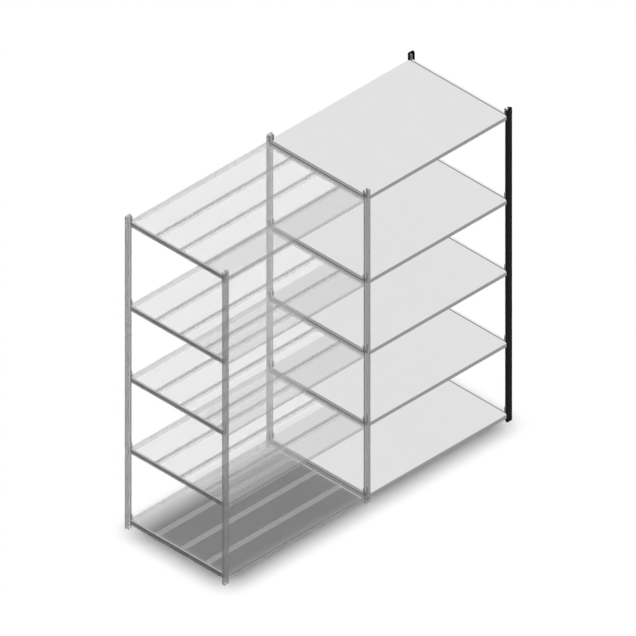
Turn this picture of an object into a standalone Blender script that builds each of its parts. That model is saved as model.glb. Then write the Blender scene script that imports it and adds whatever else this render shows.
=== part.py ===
"""Two-bay metal shelving unit: slotted T-shaped uprights, hook-in side beams and steel shelf panels.

Metres, +Z up, +X along the run, front at -Y. The origin lies on the floor under the middle of the unit.
Every shelf is four steel panels side by side that lie loose on the ledges of two side beams.
"""
import math

import bpy
import bmesh
from mathutils import Matrix

# The run as a whole
BAY_PITCH = 1.283
BAY_COUNT = 2
FRAME_DEPTH = 0.903
UPRIGHT_HEIGHT = 2.450
SLOT_PITCH = 0.020
LOWER_SHELF_SLOTS = (3, 31, 59, 87)

# Upright: a rolled T section with its wide flange on the outside
STEM_WIDTH = 0.027
STEM_DEPTH = 0.0137
STEM_LIP = 0.005
SHOULDER_WIDTH = 0.009
FLANGE_DEPTH = 0.0165
UPRIGHT_WALL = 0.002

# Slots in the sides of the stem, and which of them the hooks of a shelf take
SLOT_WIDTH = 0.004
SLOT_HEIGHT = 0.012
HOOK_SLOTS = (-1, 2)

# Side beam: a rolled box with a ledge along its foot
BEAM_RIM = 0.0056
BEAM_OUTER_DROP = 0.0294
BEAM_CENTRE_GAP = 0.0024
BEAM_WALL = 0.0015
LEDGE_WIDTH = 0.012

# End plate of a side beam, and its hooks
PLATE_THICKNESS = 0.003
PLATE_OVERLAP = 0.003
PLATE_MARGIN = 0.0035
TONGUE_HEIGHT = 0.0055
TIP_DROP = 0.0045
TIP_THICKNESS = 0.002

# Shelf panel: a sheet with its long edges turned down and back
PANEL_HEIGHT = 0.030
PANEL_LIP = 0.020
PANEL_SHEET = 0.001
PANELS_PER_SHELF = 4
DECK_SETBACK = 0.006

# Ties between the inner panels
TIE_PITCH = 0.400
TIE_LENGTH = 0.012
TIE_HEIGHT = 0.008
TIE_DEPTH = 0.014

# Clearances
SEAT_GAP = 0.0003
SLOT_CLEARANCE = 0.0005
PANEL_END_CLEARANCE = 0.0008
NOTCH_CLEARANCE = 0.001
WELD_OVERLAP = 0.0002
CUT_OVERRUN = 0.001
MERGE_DISTANCE = 0.00003

# Worked out from the sizes above
FLANGE_WIDTH = STEM_WIDTH + 2 * SHOULDER_WIDTH
UPRIGHT_DEPTH = FLANGE_DEPTH + STEM_DEPTH
SLOT_COUNT = int((UPRIGHT_HEIGHT - PLATE_MARGIN - SLOT_HEIGHT / 2) / SLOT_PITCH)
TOP_SHELF_SLOT = SLOT_COUNT - HOOK_SLOTS[-1]
FRAME_X = [(i - BAY_COUNT / 2) * BAY_PITCH for i in range(BAY_COUNT + 1)]
LEVELS = [slot * SLOT_PITCH for slot in (*LOWER_SHELF_SLOTS, TOP_SHELF_SLOT)]

STEM_SIDE = STEM_WIDTH / 2
STEM_END_Y = FRAME_DEPTH / 2 - UPRIGHT_DEPTH
SHOULDER_Y = FRAME_DEPTH / 2 - FLANGE_DEPTH
SLOT_Y = SHOULDER_Y - STEM_DEPTH / 2

PLATE_OUTER_X = STEM_SIDE + SEAT_GAP
PLATE_INNER_X = PLATE_OUTER_X + PLATE_THICKNESS
BEAM_INNER_X = PLATE_INNER_X - WELD_OVERLAP
BEAM_HALF_LENGTH = STEM_END_Y - SEAT_GAP
LEDGE_Z = -PANEL_HEIGHT - SEAT_GAP

PANEL_LENGTH = BAY_PITCH - 2 * (PLATE_INNER_X + PANEL_END_CLEARANCE)
DECK_DEPTH = FRAME_DEPTH - 2 * DECK_SETBACK
PANEL_WIDTH = (DECK_DEPTH - (PANELS_PER_SHELF - 1) * SEAT_GAP) / PANELS_PER_SHELF
PANEL_STEP = PANEL_WIDTH + SEAT_GAP

FRAME_SIDES = ("left", "middle", "right")
BAY_SIDES = ("left", "right")
HALF_TURN = math.pi

# Axis changes that lay a drawn section across Z, X or Y
ACROSS_Z = Matrix.Identity(3)
ACROSS_X = Matrix(((0, 0, 1), (1, 0, 0), (0, 1, 0)))
ACROSS_Y = Matrix(((1, 0, 0), (0, 0, -1), (0, 1, 0)))

# Finishes: colour, roughness and opacity
LIGHT_GREY = ((0.76, 0.76, 0.76), 0.45, 1.0)
BLUE_BLACK = ((0.018, 0.022, 0.026), 0.40, 1.0)
CLEAR_LIGHT_GREY = ((0.70, 0.70, 0.70), 0.45, 0.36)
CLEAR_BLUE_BLACK = ((0.018, 0.022, 0.026), 0.40, 0.36)


def clear_scene():
    for obj in list(bpy.data.objects):
        bpy.data.objects.remove(obj, do_unlink=True)


def new_object(name, data):
    obj = bpy.data.objects.new(name, data)
    bpy.context.scene.collection.objects.link(obj)
    return obj


def evaluated_mesh(obj):
    """The mesh of an object with its modifiers applied; the object itself is removed."""
    bpy.context.view_layer.update()
    depsgraph = bpy.context.evaluated_depsgraph_get()
    mesh = bpy.data.meshes.new_from_object(obj.evaluated_get(depsgraph))
    bpy.data.objects.remove(obj, do_unlink=True)
    return mesh


def closed_object(name, mesh):
    """An object for a mesh, with doubled points merged and its faces turned outwards."""
    shape = bmesh.new()
    shape.from_mesh(mesh)
    bmesh.ops.remove_doubles(shape, verts=shape.verts, dist=MERGE_DISTANCE)
    bmesh.ops.recalc_face_normals(shape, faces=shape.faces)
    shape.to_mesh(mesh)
    shape.free()
    return new_object(name, mesh)


def combined(obj, other, operation):
    """The exact union or difference of two objects, as one new object."""
    name = obj.name
    change = obj.modifiers.new("join or cut", "BOOLEAN")
    change.operation = operation
    change.solver = "EXACT"
    change.object = other
    mesh = evaluated_mesh(obj)
    bpy.data.objects.remove(other, do_unlink=True)
    return closed_object(name, mesh)


def boxes(name, corner_pairs):
    """One object that holds a block between each pair of low and high corners."""
    shape = bmesh.new()
    for low, high in corner_pairs:
        size = [b - a for a, b in zip(low, high)]
        centre = [(a + b) / 2 for a, b in zip(low, high)]
        bmesh.ops.create_cube(shape, size=1, matrix=Matrix.Translation(centre) @ Matrix.Diagonal((*size, 1)))
    mesh = bpy.data.meshes.new(name)
    shape.to_mesh(mesh)
    shape.free()
    return new_object(name, mesh)


def rolled_sheet(name, path, length, wall, axes):
    """A sheet bent along an open path and drawn out to a length, its thickness laid inside the path."""
    curve = bpy.data.curves.new(name, "CURVE")
    curve.dimensions = "2D"
    curve.fill_mode = "NONE"
    curve.extrude = length / 2
    spline = curve.splines.new("POLY")
    spline.points.add(len(path) - 1)
    for point, (a, b) in zip(spline.points, path):
        point.co = (a, b, 0, 1)
    ribbon = evaluated_mesh(new_object(name, curve))
    ribbon.transform(axes.to_4x4())
    sheet = new_object(name, ribbon)
    solidify = sheet.modifiers.new("sheet thickness", "SOLIDIFY")
    solidify.thickness = wall
    solidify.offset = -1
    solidify.use_even_offset = True
    return closed_object(name, evaluated_mesh(sheet))


def upright_mesh():
    """Upright on its own axis, flange towards -Y, with the slots that the side beams hook into."""
    front = -FRAME_DEPTH / 2
    lip_x = STEM_SIDE - STEM_LIP
    flange_x = FLANGE_WIDTH / 2
    half_path = [(lip_x, -STEM_END_Y), (STEM_SIDE, -STEM_END_Y), (STEM_SIDE, -SHOULDER_Y),
                 (flange_x, -SHOULDER_Y), (flange_x, front)]
    path = half_path + [(-x, y) for x, y in reversed(half_path)]
    post = rolled_sheet("upright", path, UPRIGHT_HEIGHT, UPRIGHT_WALL, ACROSS_Z)
    post.data.transform(Matrix.Translation((0, 0, UPRIGHT_HEIGHT / 2)))
    cut_far = STEM_SIDE + CUT_OVERRUN
    cut_near = STEM_SIDE - UPRIGHT_WALL - CUT_OVERRUN
    cuts = []
    for level in LEVELS:
        for slot in HOOK_SLOTS:
            z = level + slot * SLOT_PITCH
            for x_low, x_high in ((-cut_far, -cut_near), (cut_near, cut_far)):
                cuts.append(((x_low, -SLOT_Y - SLOT_WIDTH / 2, z - SLOT_HEIGHT / 2),
                             (x_high, -SLOT_Y + SLOT_WIDTH / 2, z + SLOT_HEIGHT / 2)))
    return combined(post, boxes("upright slots", cuts), "DIFFERENCE").data


def hook(end, slot_z):
    """One hook of an end plate: a tongue through its slot, and a tip that hangs behind the stem's wall."""
    half_width = SLOT_WIDTH / 2 - SLOT_CLEARANCE
    y_low = end * SLOT_Y - half_width
    y_high = end * SLOT_Y + half_width
    foot = slot_z - SLOT_HEIGHT / 2 + SLOT_CLEARANCE
    head = foot + TONGUE_HEIGHT
    tip_face = STEM_SIDE - UPRIGHT_WALL - SLOT_CLEARANCE
    tip_back = tip_face - TIP_THICKNESS
    tongue = boxes("hook", [((tip_back, y_low, foot), (PLATE_OUTER_X + WELD_OVERLAP, y_high, head))])
    tip = boxes("hook tip", [((tip_back, y_low, foot - TIP_DROP), (tip_face, y_high, head))])
    return combined(tongue, tip, "UNION")


def beam_mesh():
    """Side beam for the left end of a bay, its shelf's top at Z = 0 and the frame's middle at X = 0."""
    path = [(BEAM_CENTRE_GAP, -BEAM_OUTER_DROP), (BEAM_CENTRE_GAP, BEAM_RIM), (BEAM_INNER_X, BEAM_RIM),
            (BEAM_INNER_X, LEDGE_Z), (BEAM_INNER_X + LEDGE_WIDTH, LEDGE_Z)]
    beam = rolled_sheet("side_beam", path, 2 * BEAM_HALF_LENGTH, BEAM_WALL, ACROSS_Y)
    plate_low = HOOK_SLOTS[0] * SLOT_PITCH - SLOT_HEIGHT / 2 - PLATE_MARGIN
    plate_high = HOOK_SLOTS[-1] * SLOT_PITCH + SLOT_HEIGHT / 2 + PLATE_MARGIN
    plate_outer = SHOULDER_Y - SEAT_GAP
    plate_inner = BEAM_HALF_LENGTH - PLATE_OVERLAP
    for end, y_low, y_high in ((-1, -plate_outer, -plate_inner), (1, plate_inner, plate_outer)):
        plate = boxes("end plate", [((PLATE_OUTER_X, y_low, plate_low), (PLATE_INNER_X, y_high, plate_high))])
        beam = combined(beam, plate, "UNION")
        for slot in HOOK_SLOTS:
            beam = combined(beam, hook(end, slot * SLOT_PITCH), "UNION")
    return beam.data


def panel(name, y_low):
    """One shelf panel, its front edge at a given place, its top at Z = 0 and its middle at X = 0."""
    y_high = y_low + PANEL_WIDTH
    path = [(y_low + PANEL_LIP, -PANEL_HEIGHT), (y_low, -PANEL_HEIGHT), (y_low, 0),
            (y_high, 0), (y_high, -PANEL_HEIGHT), (y_high - PANEL_LIP, -PANEL_HEIGHT)]
    return rolled_sheet(name, path, PANEL_LENGTH, PANEL_SHEET, ACROSS_X)


def edge_panel_mesh():
    """Front panel, with a notch at each end that clears the flange of the upright."""
    y_low = -DECK_DEPTH / 2
    notch_x = BAY_PITCH / 2 - FLANGE_WIDTH / 2 - NOTCH_CLEARANCE
    notch_y = -SHOULDER_Y + NOTCH_CLEARANCE
    end_x = PANEL_LENGTH / 2 + CUT_OVERRUN
    cuts = []
    for x_low, x_high in ((-end_x, -notch_x), (notch_x, end_x)):
        cuts.append(((x_low, y_low - CUT_OVERRUN, -PANEL_HEIGHT - CUT_OVERRUN), (x_high, notch_y, CUT_OVERRUN)))
    return combined(panel("edge_panel", y_low), boxes("panel notches", cuts), "DIFFERENCE").data


def middle_panels_mesh():
    """The inner panels of a shelf, each a seat gap from the next and tied to it at the webs."""
    first = -DECK_DEPTH / 2 + PANEL_STEP
    tie_count = int((PANEL_LENGTH - TIE_LENGTH) / TIE_PITCH) + 1
    panels = panel("middle_panels", first)
    for i in range(1, PANELS_PER_SHELF - 2):
        y_low = first + i * PANEL_STEP
        ties = []
        for k in range(tie_count):
            x = (k - (tie_count - 1) / 2) * TIE_PITCH
            ties.append(((x - TIE_LENGTH / 2, y_low - SEAT_GAP - WELD_OVERLAP, -TIE_DEPTH - TIE_HEIGHT / 2),
                         (x + TIE_LENGTH / 2, y_low + WELD_OVERLAP, -TIE_DEPTH + TIE_HEIGHT / 2)))
        panels = combined(panels, boxes("ties", ties), "UNION")
        panels = combined(panels, panel("inner_panel", y_low), "UNION")
    return panels.data


def painted_steel(name, finish):
    colour, roughness, opacity = finish
    material = bpy.data.materials.new(name)
    material.use_nodes = True
    shader = material.node_tree.nodes["Principled BSDF"]
    shader.inputs["Base Color"].default_value = (*colour, 1.0)
    shader.inputs["Roughness"].default_value = roughness
    shader.inputs["Metallic"].default_value = 0.0
    shader.inputs["Alpha"].default_value = opacity
    material.diffuse_color = (*colour, opacity)
    return material


def painted(mesh, material):
    copy = mesh.copy()
    copy.materials.clear()
    copy.materials.append(material)
    return copy


def guide(collection, name, location):
    """An empty that carries the pieces of one frame, one beam place or one shelf."""
    empty = bpy.data.objects.new(name, None)
    empty.location = location
    collection.objects.link(empty)
    return empty


def place(collection, name, mesh, parent, turn=0):
    """One copy of a piece under its guide, turned about Z."""
    obj = bpy.data.objects.new(name, mesh)
    obj.rotation_euler = (0, 0, turn)
    obj.parent = parent
    collection.objects.link(obj)


def place_frames(collection, uprights):
    for side, x, upright in zip(FRAME_SIDES, FRAME_X, uprights):
        frame = guide(collection, side + "_frame", (x, 0, 0))
        place(collection, "upright_front_" + side, upright, frame)
        place(collection, "upright_rear_" + side, upright, frame, HALF_TURN)


def place_shelf(collection, bay, number, beam, edge_panel, middle_panels):
    """The two side beams and the panels of one shelf."""
    name = f"{BAY_SIDES[bay]}_bay"
    level = LEVELS[number - 1]
    left_end = guide(collection, f"{name}_left_end_{number}", (FRAME_X[bay], 0, level))
    right_end = guide(collection, f"{name}_right_end_{number}", (FRAME_X[bay + 1], 0, level))
    place(collection, f"{name}_left_beam_{number}", beam, left_end)
    place(collection, f"{name}_right_beam_{number}", beam, right_end, HALF_TURN)
    middle_x = (FRAME_X[bay] + FRAME_X[bay + 1]) / 2
    shelf = guide(collection, f"{name}_shelf_{number}", (middle_x, 0, level))
    place(collection, f"{name}_shelf_{number}_front_panel", edge_panel, shelf)
    place(collection, f"{name}_shelf_{number}_middle_panels", middle_panels, shelf)
    place(collection, f"{name}_shelf_{number}_rear_panel", edge_panel, shelf, HALF_TURN)


def build():
    clear_scene()
    collection = bpy.data.collections.new("metal_shelving_unit")
    bpy.context.scene.collection.children.link(collection)
    upright = upright_mesh()
    beam = beam_mesh()
    edge_panel = edge_panel_mesh()
    middle_panels = middle_panels_mesh()
    clear_scene()

    light_grey = painted_steel("light_grey", LIGHT_GREY)
    blue_black = painted_steel("blue_black", BLUE_BLACK)
    clear_light_grey = painted_steel("clear_light_grey", CLEAR_LIGHT_GREY)
    clear_upright = painted(upright, painted_steel("clear_blue_black", CLEAR_BLUE_BLACK))
    place_frames(collection, (clear_upright, clear_upright, painted(upright, blue_black)))
    for bay, finish in enumerate((clear_light_grey, light_grey)):
        pieces = [painted(mesh, finish) for mesh in (beam, edge_panel, middle_panels)]
        for number in range(1, len(LEVELS) + 1):
            place_shelf(collection, bay, number, *pieces)


build()
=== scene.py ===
"""The looks of the two-bay steel shelving unit, built round its CAD model.

The right bay and its outer uprights have opaque paint. The left bay and the other uprights
are see-through, as in the photo.
"""

import math

import bpy
import bmesh
from mathutils import Matrix, Vector


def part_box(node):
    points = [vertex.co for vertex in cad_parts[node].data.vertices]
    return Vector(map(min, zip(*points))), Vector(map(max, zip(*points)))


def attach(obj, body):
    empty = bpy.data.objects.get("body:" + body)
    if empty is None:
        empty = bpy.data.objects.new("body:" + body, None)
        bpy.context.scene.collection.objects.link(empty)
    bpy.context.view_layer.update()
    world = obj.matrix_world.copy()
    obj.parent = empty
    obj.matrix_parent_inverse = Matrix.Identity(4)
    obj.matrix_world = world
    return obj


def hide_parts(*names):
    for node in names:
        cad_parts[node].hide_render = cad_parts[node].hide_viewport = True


# Upright: rolled T section, its stem slotted on both sides from end to end
STEM_WIDTH = 0.027
STEM_DEPTH = 0.0137
STEM_LIP = 0.005
UPRIGHT_WALL = 0.002
UPRIGHT_BENDS = (0.0022, 0.0012, 0.0022, 0.0022)
SLOT_PITCH = 0.020
SLOT_WIDTH = 0.004
SLOT_HEIGHT = 0.012
SLOT_CORNER = 0.0012

# Shelf panel: sheet with its long edges turned down and back
PANEL_LIP = 0.020
PANEL_SHEET = 0.001
PANEL_BEND = 0.0013
PANEL_GAP = 0.0003
NOTCH = (0.0059, 0.0115)
CUT_OVERRUN = 0.001

# Bends and edges
BEND_STEPS = 4
SHARP_ANGLE = math.radians(40)
MERGE_DISTANCE = 0.00002
BEAM_EDGE = 0.0004
BEAM_EDGE_STEPS = 2

SHELVES_PER_BAY = 5

# Paint: colour, roughness and opacity. The see-through uprights read as mid grey in the photo
PAINTS = {
    "light_grey_paint": ((0.76, 0.76, 0.76), 0.45, 1.0),
    "blue_black_paint": ((0.005, 0.008, 0.0105), 0.42, 1.0),
    "clear_light_grey_paint": ((0.545, 0.545, 0.545), 0.45, 0.212),
    "clear_blue_black_paint": ((0.57, 0.57, 0.58), 0.42, 0.35),
}
PAINT_SHEEN = 0.05
CLEAR_BEAM_PAINT = ((0.54, 0.54, 0.54), 0.45, 0.45)

# Detail of the paint and the floor: sizes in metres, shades as factors on the colour.
# A span is the part of the noise in use, and a stretch below 1 draws marks out along X
NOISE_SPAN = (0.3, 0.7)
CLOUD_SIZE = 0.16
CLOUD_DETAIL = 3
CLOUD_SHADES = (0.992, 1.005)
RUB_SIZE = 0.006
RUB_DETAIL = 4
RUB_SHADES = (1.0, 0.985)
RUB_SPAN = (0.58, 0.74)
RUB_STRETCH = (0.06, 1, 1)
GLOSS_SIZE = 0.03
GLOSS_DETAIL = 2
GLOSS_CHANGE = 0.05
SKIN_SIZE = 0.0016
SKIN_DETAIL = 2
SKIN_HEIGHT = 0.00006
SKIN_STRENGTH = 0.25
FLOOR_GRAIN_SIZE = 0.02
FLOOR_GRAIN_DETAIL = 3
FLOOR_GRAIN_CHANGE = 0.01
FLOOR_ROUGHNESS = 0.9

# Camera: a parallel view from the front left and above
VIEW_AZIMUTH = math.radians(-45)
VIEW_ELEVATION = math.radians(35.264)
VIEW_WIDTH = 4.076
VIEW_TARGET = Vector((-0.0007, 0.003, 1.2247))
VIEW_DISTANCE = 8.0

# Light: each level is what a white face turned to that light would show
STRAIGHT_DOWN = (0, 0, -1)
OBJECT_LIGHTS = {
    "top": (STRAIGHT_DOWN, 0.99),
    "front": ((0, 1, 0), 0.375),
    "left": ((1, 0, 0), 0.15),
    "rear": ((0, -1, 0), 0.30),
    "right": ((-1, 0, 0), 0.22),
    "under": ((0, 0, 1), 0.15),
}
# The floor's own lights: one casts the shadow of the top shelves, and a weak one fills it
FLOOR_LIGHT_DIRECTION = (-0.007, -0.0115, -1)
FLOOR_LIGHT_LEVEL = 1.035
FLOOR_LIGHT_ANGLE = math.radians(6.8)
FLOOR_FILL_LEVEL = 0.02
# Sky: as light overhead and at the rim, and as a background that is seen
SKY_LEVEL = 0.010
SKY_RIM_LEVEL = 0.004
SHOWN_SKY_LEVEL = 1.0
FLOOR_SIZE = 60.0
FLOOR_COLOUR = 0.95
WHITE = (1, 1, 1, 1)
# Surfaces that a ray may pass through, and flat shading without bounced light, as in the photo
LAYERS_SEEN_THROUGH = 48
LIGHT_BOUNCES = 0


def new_object(name, data):
    obj = bpy.data.objects.new(name, data)
    bpy.context.scene.collection.objects.link(obj)
    return obj


def evaluated_mesh(obj):
    """The mesh of an object with its modifiers applied; the object itself is removed."""
    bpy.context.view_layer.update()
    depsgraph = bpy.context.evaluated_depsgraph_get()
    mesh = bpy.data.meshes.new_from_object(obj.evaluated_get(depsgraph))
    bpy.data.objects.remove(obj, do_unlink=True)
    return mesh


def rounded_path(points, radii):
    """An open outline with each corner inside it rounded to its radius."""
    path = [points[0]]
    for before, corner, after, radius in zip(points, points[1:], points[2:], radii):
        corner = Vector(corner)
        back = (Vector(before) - corner).normalized()
        ahead = (Vector(after) - corner).normalized()
        half_angle = back.angle(ahead) / 2
        centre = corner + (back + ahead).normalized() * (radius / math.sin(half_angle))
        reach = radius / math.tan(half_angle)
        start = (corner + back * reach - centre).normalized()
        end = (corner + ahead * reach - centre).normalized()
        for step in range(BEND_STEPS + 1):
            path.append(tuple(centre + radius * start.slerp(end, step / BEND_STEPS)))
    path.append(points[-1])
    return path


def thick_sheet(name, shape, wall):
    """A sheet given its thickness on the inside of its faces."""
    bmesh.ops.remove_doubles(shape, verts=shape.verts, dist=MERGE_DISTANCE)
    mesh = bpy.data.meshes.new(name)
    shape.to_mesh(mesh)
    shape.free()
    sheet = new_object(name, mesh)
    solidify = sheet.modifiers.new("sheet thickness", "SOLIDIFY")
    solidify.thickness = wall
    solidify.offset = -1
    solidify.use_even_offset = True
    return evaluated_mesh(sheet)


def smoothed(mesh):
    """The mesh with its bends smooth and its flats and cut edges crisp."""
    mesh.shade_smooth()
    mesh.set_sharp_from_angle(angle=SHARP_ANGLE)
    obj = new_object(mesh.name, mesh)
    weighted = obj.modifiers.new("flat faces stay flat", "WEIGHTED_NORMAL")
    weighted.keep_sharp = True
    return evaluated_mesh(obj)


def slotted_side(shape, x, y_near, y_far, slot_y, bottom):
    """One pitch of a stem's side: the faces before and behind the middle of the slot."""
    half_width = SLOT_WIDTH / 2
    half_height = SLOT_HEIGHT / 2
    flat_width = half_width - SLOT_CORNER
    flat_height = half_height - SLOT_CORNER
    rim = [(0, half_height), (flat_width, half_height), (half_width, flat_height),
           (half_width, -flat_height), (flat_width, -half_height), (0, -half_height)]
    top = bottom + SLOT_PITCH
    middle = bottom + SLOT_PITCH / 2
    for y_edge, side in ((y_near, -1), (y_far, 1)):
        outline = [(slot_y, bottom), (y_edge, bottom), (y_edge, top), (slot_y, top)]
        outline += [(slot_y + side * dy, middle + dz) for dy, dz in rim]
        if side * x < 0:
            outline.reverse()
        shape.faces.new([shape.verts.new((x, y, z)) for y, z in outline])


def upright_mesh(height, width, depth):
    """Upright with its foot at Z = 0, its flange's face at Y = 0 and its stem towards +Y."""
    stem = STEM_WIDTH / 2
    shoulder_y = depth - STEM_DEPTH
    slot_y = depth - STEM_DEPTH / 2
    corners = [(stem - STEM_LIP, depth), (stem, depth), (stem, shoulder_y),
               (width / 2, shoulder_y), (width / 2, 0), (0, 0)]
    half = rounded_path(corners, UPRIGHT_BENDS)
    path = half + [(-x, y) for x, y in reversed(half[:-1])]
    blank = SLOT_PITCH / 2
    slot_count = round((height - blank) / SLOT_PITCH)
    bottoms = [blank + i * SLOT_PITCH for i in range(slot_count)]
    shape = bmesh.new()
    for (x0, y0), (x1, y1) in zip(path, path[1:]):
        strips = [(0, blank)] + [(bottom, bottom + SLOT_PITCH) for bottom in bottoms]
        if x0 == x1 and min(y0, y1) < slot_y < max(y0, y1):
            strips = strips[:1]
            for bottom in bottoms:
                slotted_side(shape, x0, min(y0, y1), max(y0, y1), slot_y, bottom)
        for low, high in strips:
            corners = ((x1, y1, low), (x0, y0, low), (x0, y0, high), (x1, y1, high))
            shape.faces.new([shape.verts.new(corner) for corner in corners])
    return smoothed(thick_sheet("upright", shape, UPRIGHT_WALL))


def panel_sheet(length, width, height):
    """Shelf panel with its middle at X = 0, its front edge at Y = 0 and its top at Z = 0."""
    corners = [(PANEL_LIP, -height), (0, -height), (0, 0),
               (width, 0), (width, -height), (width - PANEL_LIP, -height)]
    path = rounded_path(corners, [PANEL_BEND] * (len(corners) - 2))
    shape = bmesh.new()
    for (y0, z0), (y1, z1) in zip(path, path[1:]):
        corners = ((-length / 2, y1, z1), (-length / 2, y0, z0),
                   (length / 2, y0, z0), (length / 2, y1, z1))
        shape.faces.new([shape.verts.new(corner) for corner in corners])
    return thick_sheet("panel", shape, PANEL_SHEET)


def edge_panel_mesh(length, width, height):
    """Shelf panel with a notch at each end of its front edge, which clears the upright's flange."""
    notch_x, notch_y = NOTCH
    shape = bmesh.new()
    for side in (-1, 1):
        size = (2 * notch_x, 2 * notch_y, 2 * (height + CUT_OVERRUN), 1)
        place = Matrix.Translation((side * length / 2, 0, 0)) @ Matrix.Diagonal(size)
        bmesh.ops.create_cube(shape, size=1, matrix=place)
    mesh = bpy.data.meshes.new("notches")
    shape.to_mesh(mesh)
    shape.free()
    notches = new_object("notches", mesh)
    edge_panel = new_object("edge_panel", panel_sheet(length, width, height))
    cut = edge_panel.modifiers.new("notches", "BOOLEAN")
    cut.operation = "DIFFERENCE"
    cut.solver = "EXACT"
    cut.object = notches
    cut_mesh = evaluated_mesh(edge_panel)
    bpy.data.objects.remove(notches, do_unlink=True)
    return smoothed(cut_mesh)


def noise(tree, coordinates, size, detail):
    """Noise with blotches of a given size in metres."""
    node = tree.nodes.new("ShaderNodeTexNoise")
    node.inputs["Scale"].default_value = 1 / size
    node.inputs["Detail"].default_value = detail
    tree.links.new(coordinates, node.inputs["Vector"])
    return node.outputs["Factor"] if "Factor" in node.outputs else node.outputs["Fac"]


def spread(tree, value, levels, span=NOISE_SPAN):
    """A value brought from its span to run between two levels."""
    node = tree.nodes.new("ShaderNodeMapRange")
    node.inputs["From Min"].default_value, node.inputs["From Max"].default_value = span
    node.inputs["To Min"].default_value, node.inputs["To Max"].default_value = levels
    tree.links.new(value, node.inputs["Value"])
    return node.outputs["Result"]


def paint(name, colour, roughness, opacity):
    """Powder coat: an orange-peel skin, clouds in colour and gloss, and faint rub marks.

    See-through paint still casts a full shadow.
    """
    material = bpy.data.materials.new(name)
    material.use_nodes = True
    tree = material.node_tree
    shader = tree.nodes["Principled BSDF"]
    place = tree.nodes.new("ShaderNodeTexCoord").outputs["Object"]
    stretched = tree.nodes.new("ShaderNodeMapping")
    stretched.inputs["Scale"].default_value = RUB_STRETCH
    tree.links.new(place, stretched.inputs["Vector"])

    clouds = spread(tree, noise(tree, place, CLOUD_SIZE, CLOUD_DETAIL), CLOUD_SHADES)
    marks = noise(tree, stretched.outputs["Vector"], RUB_SIZE, RUB_DETAIL)
    rubs = spread(tree, marks, RUB_SHADES, RUB_SPAN)
    shade = tree.nodes.new("ShaderNodeMath")
    shade.operation = "MULTIPLY"
    tree.links.new(clouds, shade.inputs[0])
    tree.links.new(rubs, shade.inputs[1])
    tint = tree.nodes.new("ShaderNodeVectorMath")
    tint.operation = "SCALE"
    tint.inputs["Vector"].default_value = colour
    tree.links.new(shade.outputs["Value"], tint.inputs["Scale"])
    tree.links.new(tint.outputs["Vector"], shader.inputs["Base Color"])

    gloss_levels = (roughness - GLOSS_CHANGE, roughness + GLOSS_CHANGE)
    gloss = spread(tree, noise(tree, place, GLOSS_SIZE, GLOSS_DETAIL), gloss_levels)
    tree.links.new(gloss, shader.inputs["Roughness"])

    skin = tree.nodes.new("ShaderNodeBump")
    skin.inputs["Strength"].default_value = SKIN_STRENGTH
    skin.inputs["Distance"].default_value = SKIN_HEIGHT
    tree.links.new(noise(tree, place, SKIN_SIZE, SKIN_DETAIL), skin.inputs["Height"])
    tree.links.new(skin.outputs["Normal"], shader.inputs["Normal"])

    shader.inputs["Metallic"].default_value = 0.0
    shader.inputs["Specular IOR Level"].default_value = PAINT_SHEEN
    shader.inputs["Alpha"].default_value = opacity
    material.use_transparent_shadow = False
    material.diffuse_color = (*colour, opacity)
    return material


def floor_material():
    """Pale floor with a fine grain."""
    material = bpy.data.materials.new("floor")
    material.use_nodes = True
    tree = material.node_tree
    shader = tree.nodes["Principled BSDF"]
    shader.inputs["Roughness"].default_value = FLOOR_ROUGHNESS
    shader.inputs["Specular IOR Level"].default_value = 0.0
    place = tree.nodes.new("ShaderNodeTexCoord").outputs["Object"]
    grain = noise(tree, place, FLOOR_GRAIN_SIZE, FLOOR_GRAIN_DETAIL)
    grain = spread(tree, grain, (FLOOR_COLOUR - FLOOR_GRAIN_CHANGE, FLOOR_COLOUR))
    tree.links.new(grain, shader.inputs["Base Color"])
    return material


def rays_shown(tree):
    """1 for the rays that show the background: seen, reflected or let through."""
    path = tree.nodes.new("ShaderNodeLightPath")
    shown_rays = path.outputs["Is Camera Ray"]
    for ray in ("Is Glossy Ray", "Is Transmission Ray"):
        either = tree.nodes.new("ShaderNodeMath")
        either.operation = "MAXIMUM"
        tree.links.new(shown_rays, either.inputs[0])
        tree.links.new(path.outputs[ray], either.inputs[1])
        shown_rays = either.outputs["Value"]
    return shown_rays


def sky():
    """White in the picture and its reflections; as light, faint and a little brighter overhead."""
    world = bpy.data.worlds.new("sky")
    bpy.context.scene.world = world
    world.use_nodes = True
    tree = world.node_tree
    background = tree.nodes["Background"]
    background.inputs["Color"].default_value = WHITE
    direction = tree.nodes.new("ShaderNodeTexCoord").outputs["Generated"]
    height = tree.nodes.new("ShaderNodeSeparateXYZ")
    tree.links.new(direction, height.inputs["Vector"])
    light = spread(tree, height.outputs["Z"], (SKY_RIM_LEVEL, SKY_LEVEL), (0, 1))
    strength = tree.nodes.new("ShaderNodeMix")
    tree.links.new(rays_shown(tree), strength.inputs["Factor"])
    tree.links.new(light, strength.inputs["A"])
    strength.inputs["B"].default_value = SHOWN_SKY_LEVEL
    tree.links.new(strength.outputs["Result"], background.inputs["Strength"])


def linked(name, objects, state):
    """A collection for a light, whose objects are the ones it counts or the ones it leaves out."""
    group = bpy.data.collections.new(name)
    for obj in objects:
        group.objects.link(obj)
    for entry in group.collection_objects:
        entry.light_linking.link_state = state
    return group


def sun(name, direction, level):
    """Parallel light without shadows."""
    data = bpy.data.lights.new(name, "SUN")
    data.energy = math.pi * level
    data.angle = 0
    data.use_shadow = False
    obj = new_object(name, data)
    obj.rotation_euler = Vector(direction).to_track_quat("-Z", "Y").to_euler()
    return obj


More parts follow.
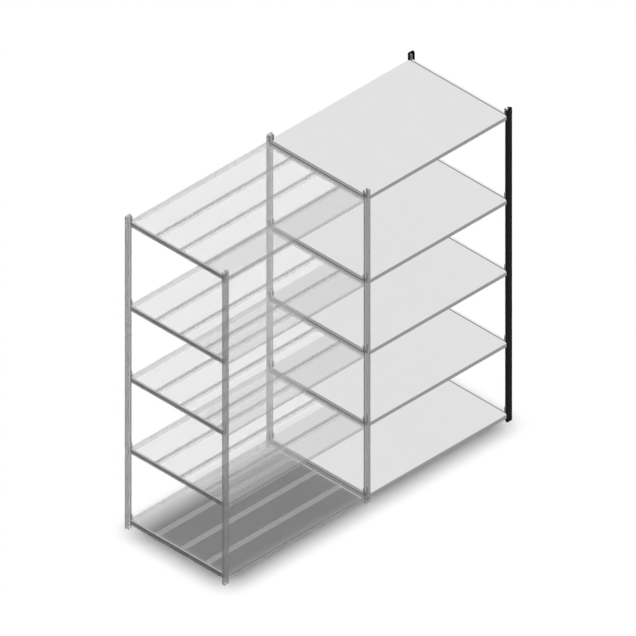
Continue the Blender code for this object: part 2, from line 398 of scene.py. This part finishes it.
def camera():
    data = bpy.data.cameras.new("camera")
    data.type = "ORTHO"
    data.ortho_scale = VIEW_WIDTH
    obj = new_object("camera", data)
    back = Vector((math.sin(VIEW_AZIMUTH) * math.cos(VIEW_ELEVATION),
                   -math.cos(VIEW_AZIMUTH) * math.cos(VIEW_ELEVATION),
                   math.sin(VIEW_ELEVATION)))
    obj.location = VIEW_TARGET + back * VIEW_DISTANCE
    obj.rotation_euler = back.to_track_quat("Z", "Y").to_euler()
    bpy.context.scene.camera = obj


def shown(name, mesh, material_name, materials, body, nodes):
    """A modelled piece in the place of its CAD nodes."""
    mesh = mesh.copy()
    mesh.materials.clear()
    mesh.materials.append(materials[material_name])
    obj = new_object(name, mesh)
    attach(obj, body)
    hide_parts(*nodes)
    return obj


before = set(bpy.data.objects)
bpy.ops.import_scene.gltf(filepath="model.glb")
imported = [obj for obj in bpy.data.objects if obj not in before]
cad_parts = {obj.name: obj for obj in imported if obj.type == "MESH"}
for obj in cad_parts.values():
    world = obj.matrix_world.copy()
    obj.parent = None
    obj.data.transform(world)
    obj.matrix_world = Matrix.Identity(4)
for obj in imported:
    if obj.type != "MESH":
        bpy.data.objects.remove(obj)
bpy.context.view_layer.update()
materials = {name: paint(name, *finish) for name, finish in PAINTS.items()}
clear_beam_paint = paint("clear_beam_paint", *CLEAR_BEAM_PAINT)
half_turn = Matrix.Rotation(math.pi, 4, "Z")

low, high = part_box("upright_front_right")
upright = upright_mesh(high.z - low.z, high.x - low.x, high.y - low.y)
upright_finishes = {"left": "clear_blue_black_paint", "middle": "clear_blue_black_paint",
                    "right": "blue_black_paint"}
for side, finish in upright_finishes.items():
    for end in ("front", "rear"):
        node = f"upright_{end}_{side}"
        low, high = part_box(node)
        middle_x = (low.x + high.x) / 2
        if end == "front":
            place = Matrix.Translation((middle_x, low.y, low.z))
        else:
            place = Matrix.Translation((middle_x, high.y, low.z)) @ half_turn
        mesh = upright.copy()
        mesh.transform(place)
        shown(node + "_slotted", mesh, finish, materials, "frame", [node])

top_shelves = []
low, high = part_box("right_bay_shelf_1_front_panel")
panel_size = (high.x - low.x, high.y - low.y, high.z - low.z)
edge_panel = edge_panel_mesh(*panel_size)
inner_panel = smoothed(panel_sheet(*panel_size))
for bay, finish in (("left", "clear_light_grey_paint"), ("right", "light_grey_paint")):
    for number in range(1, SHELVES_PER_BAY + 1):
        shelf = f"{bay}_bay_shelf_{number}"
        body = f"{bay}_shelf_{number}"
        low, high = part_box(shelf + "_front_panel")
        front = Matrix.Translation(((low.x + high.x) / 2, low.y, high.z))
        step = Matrix.Translation((0, panel_size[1] + PANEL_GAP, 0))
        rear_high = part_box(shelf + "_rear_panel")[1]
        rear = Matrix.Translation(((low.x + high.x) / 2, rear_high.y, high.z)) @ half_turn
        panels = (("front_panel", edge_panel, front, "front_panel"),
                  ("second_panel", inner_panel, front @ step, "middle_panels"),
                  ("third_panel", inner_panel, front @ step @ step, "middle_panels"),
                  ("rear_panel", edge_panel, rear, "rear_panel"))
        for name, mesh, place, node in panels:
            mesh = mesh.copy()
            mesh.transform(place)
            panel = shown(f"{shelf}_{name}_bent", mesh, finish, materials, body, [f"{shelf}_{node}"])
            if number == SHELVES_PER_BAY:
                top_shelves.append(panel)

for name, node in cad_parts.items():
    if "_beam_" in name:
        if name.endswith(str(SHELVES_PER_BAY)):
            top_shelves.append(node)
        clear = name.startswith("left_bay")
        finish = "clear_light_grey_paint" if clear else "light_grey_paint"
        node.data.materials.clear()
        node.data.materials.append(clear_beam_paint if clear else materials[finish])
        bevel = node.modifiers.new("eased edges", "BEVEL")
        bevel.width = BEAM_EDGE
        bevel.segments = BEAM_EDGE_STEPS
        bevel.limit_method = "ANGLE"
        bevel.angle_limit = SHARP_ANGLE
        bevel.harden_normals = True

floor_mesh = bpy.data.meshes.new("floor")
shape = bmesh.new()
bmesh.ops.create_grid(shape, x_segments=1, y_segments=1, size=FLOOR_SIZE / 2)
shape.to_mesh(floor_mesh)
shape.free()
floor_mesh.materials.append(floor_material())
floor = new_object("floor", floor_mesh)

sky()
for name, (direction, level) in OBJECT_LIGHTS.items():
    light = sun(name + " light", direction, level)
    light.light_linking.receiver_collection = linked(name + " receivers", [floor], "EXCLUDE")

floor_light = sun("floor light", FLOOR_LIGHT_DIRECTION, FLOOR_LIGHT_LEVEL)
floor_light.data.angle = FLOOR_LIGHT_ANGLE
floor_light.data.use_shadow = True
floor_light.light_linking.receiver_collection = linked("floor light receivers", [floor], "INCLUDE")
floor_light.light_linking.blocker_collection = linked("floor light blockers", top_shelves, "INCLUDE")
floor_fill = sun("floor fill", STRAIGHT_DOWN, FLOOR_FILL_LEVEL)
floor_fill.light_linking.receiver_collection = linked("floor fill receivers", [floor], "INCLUDE")
camera()

scene = bpy.context.scene
scene.view_settings.view_transform = "Standard"
scene.cycles.transparent_max_bounces = LAYERS_SEEN_THROUGH
scene.cycles.diffuse_bounces = LIGHT_BOUNCES
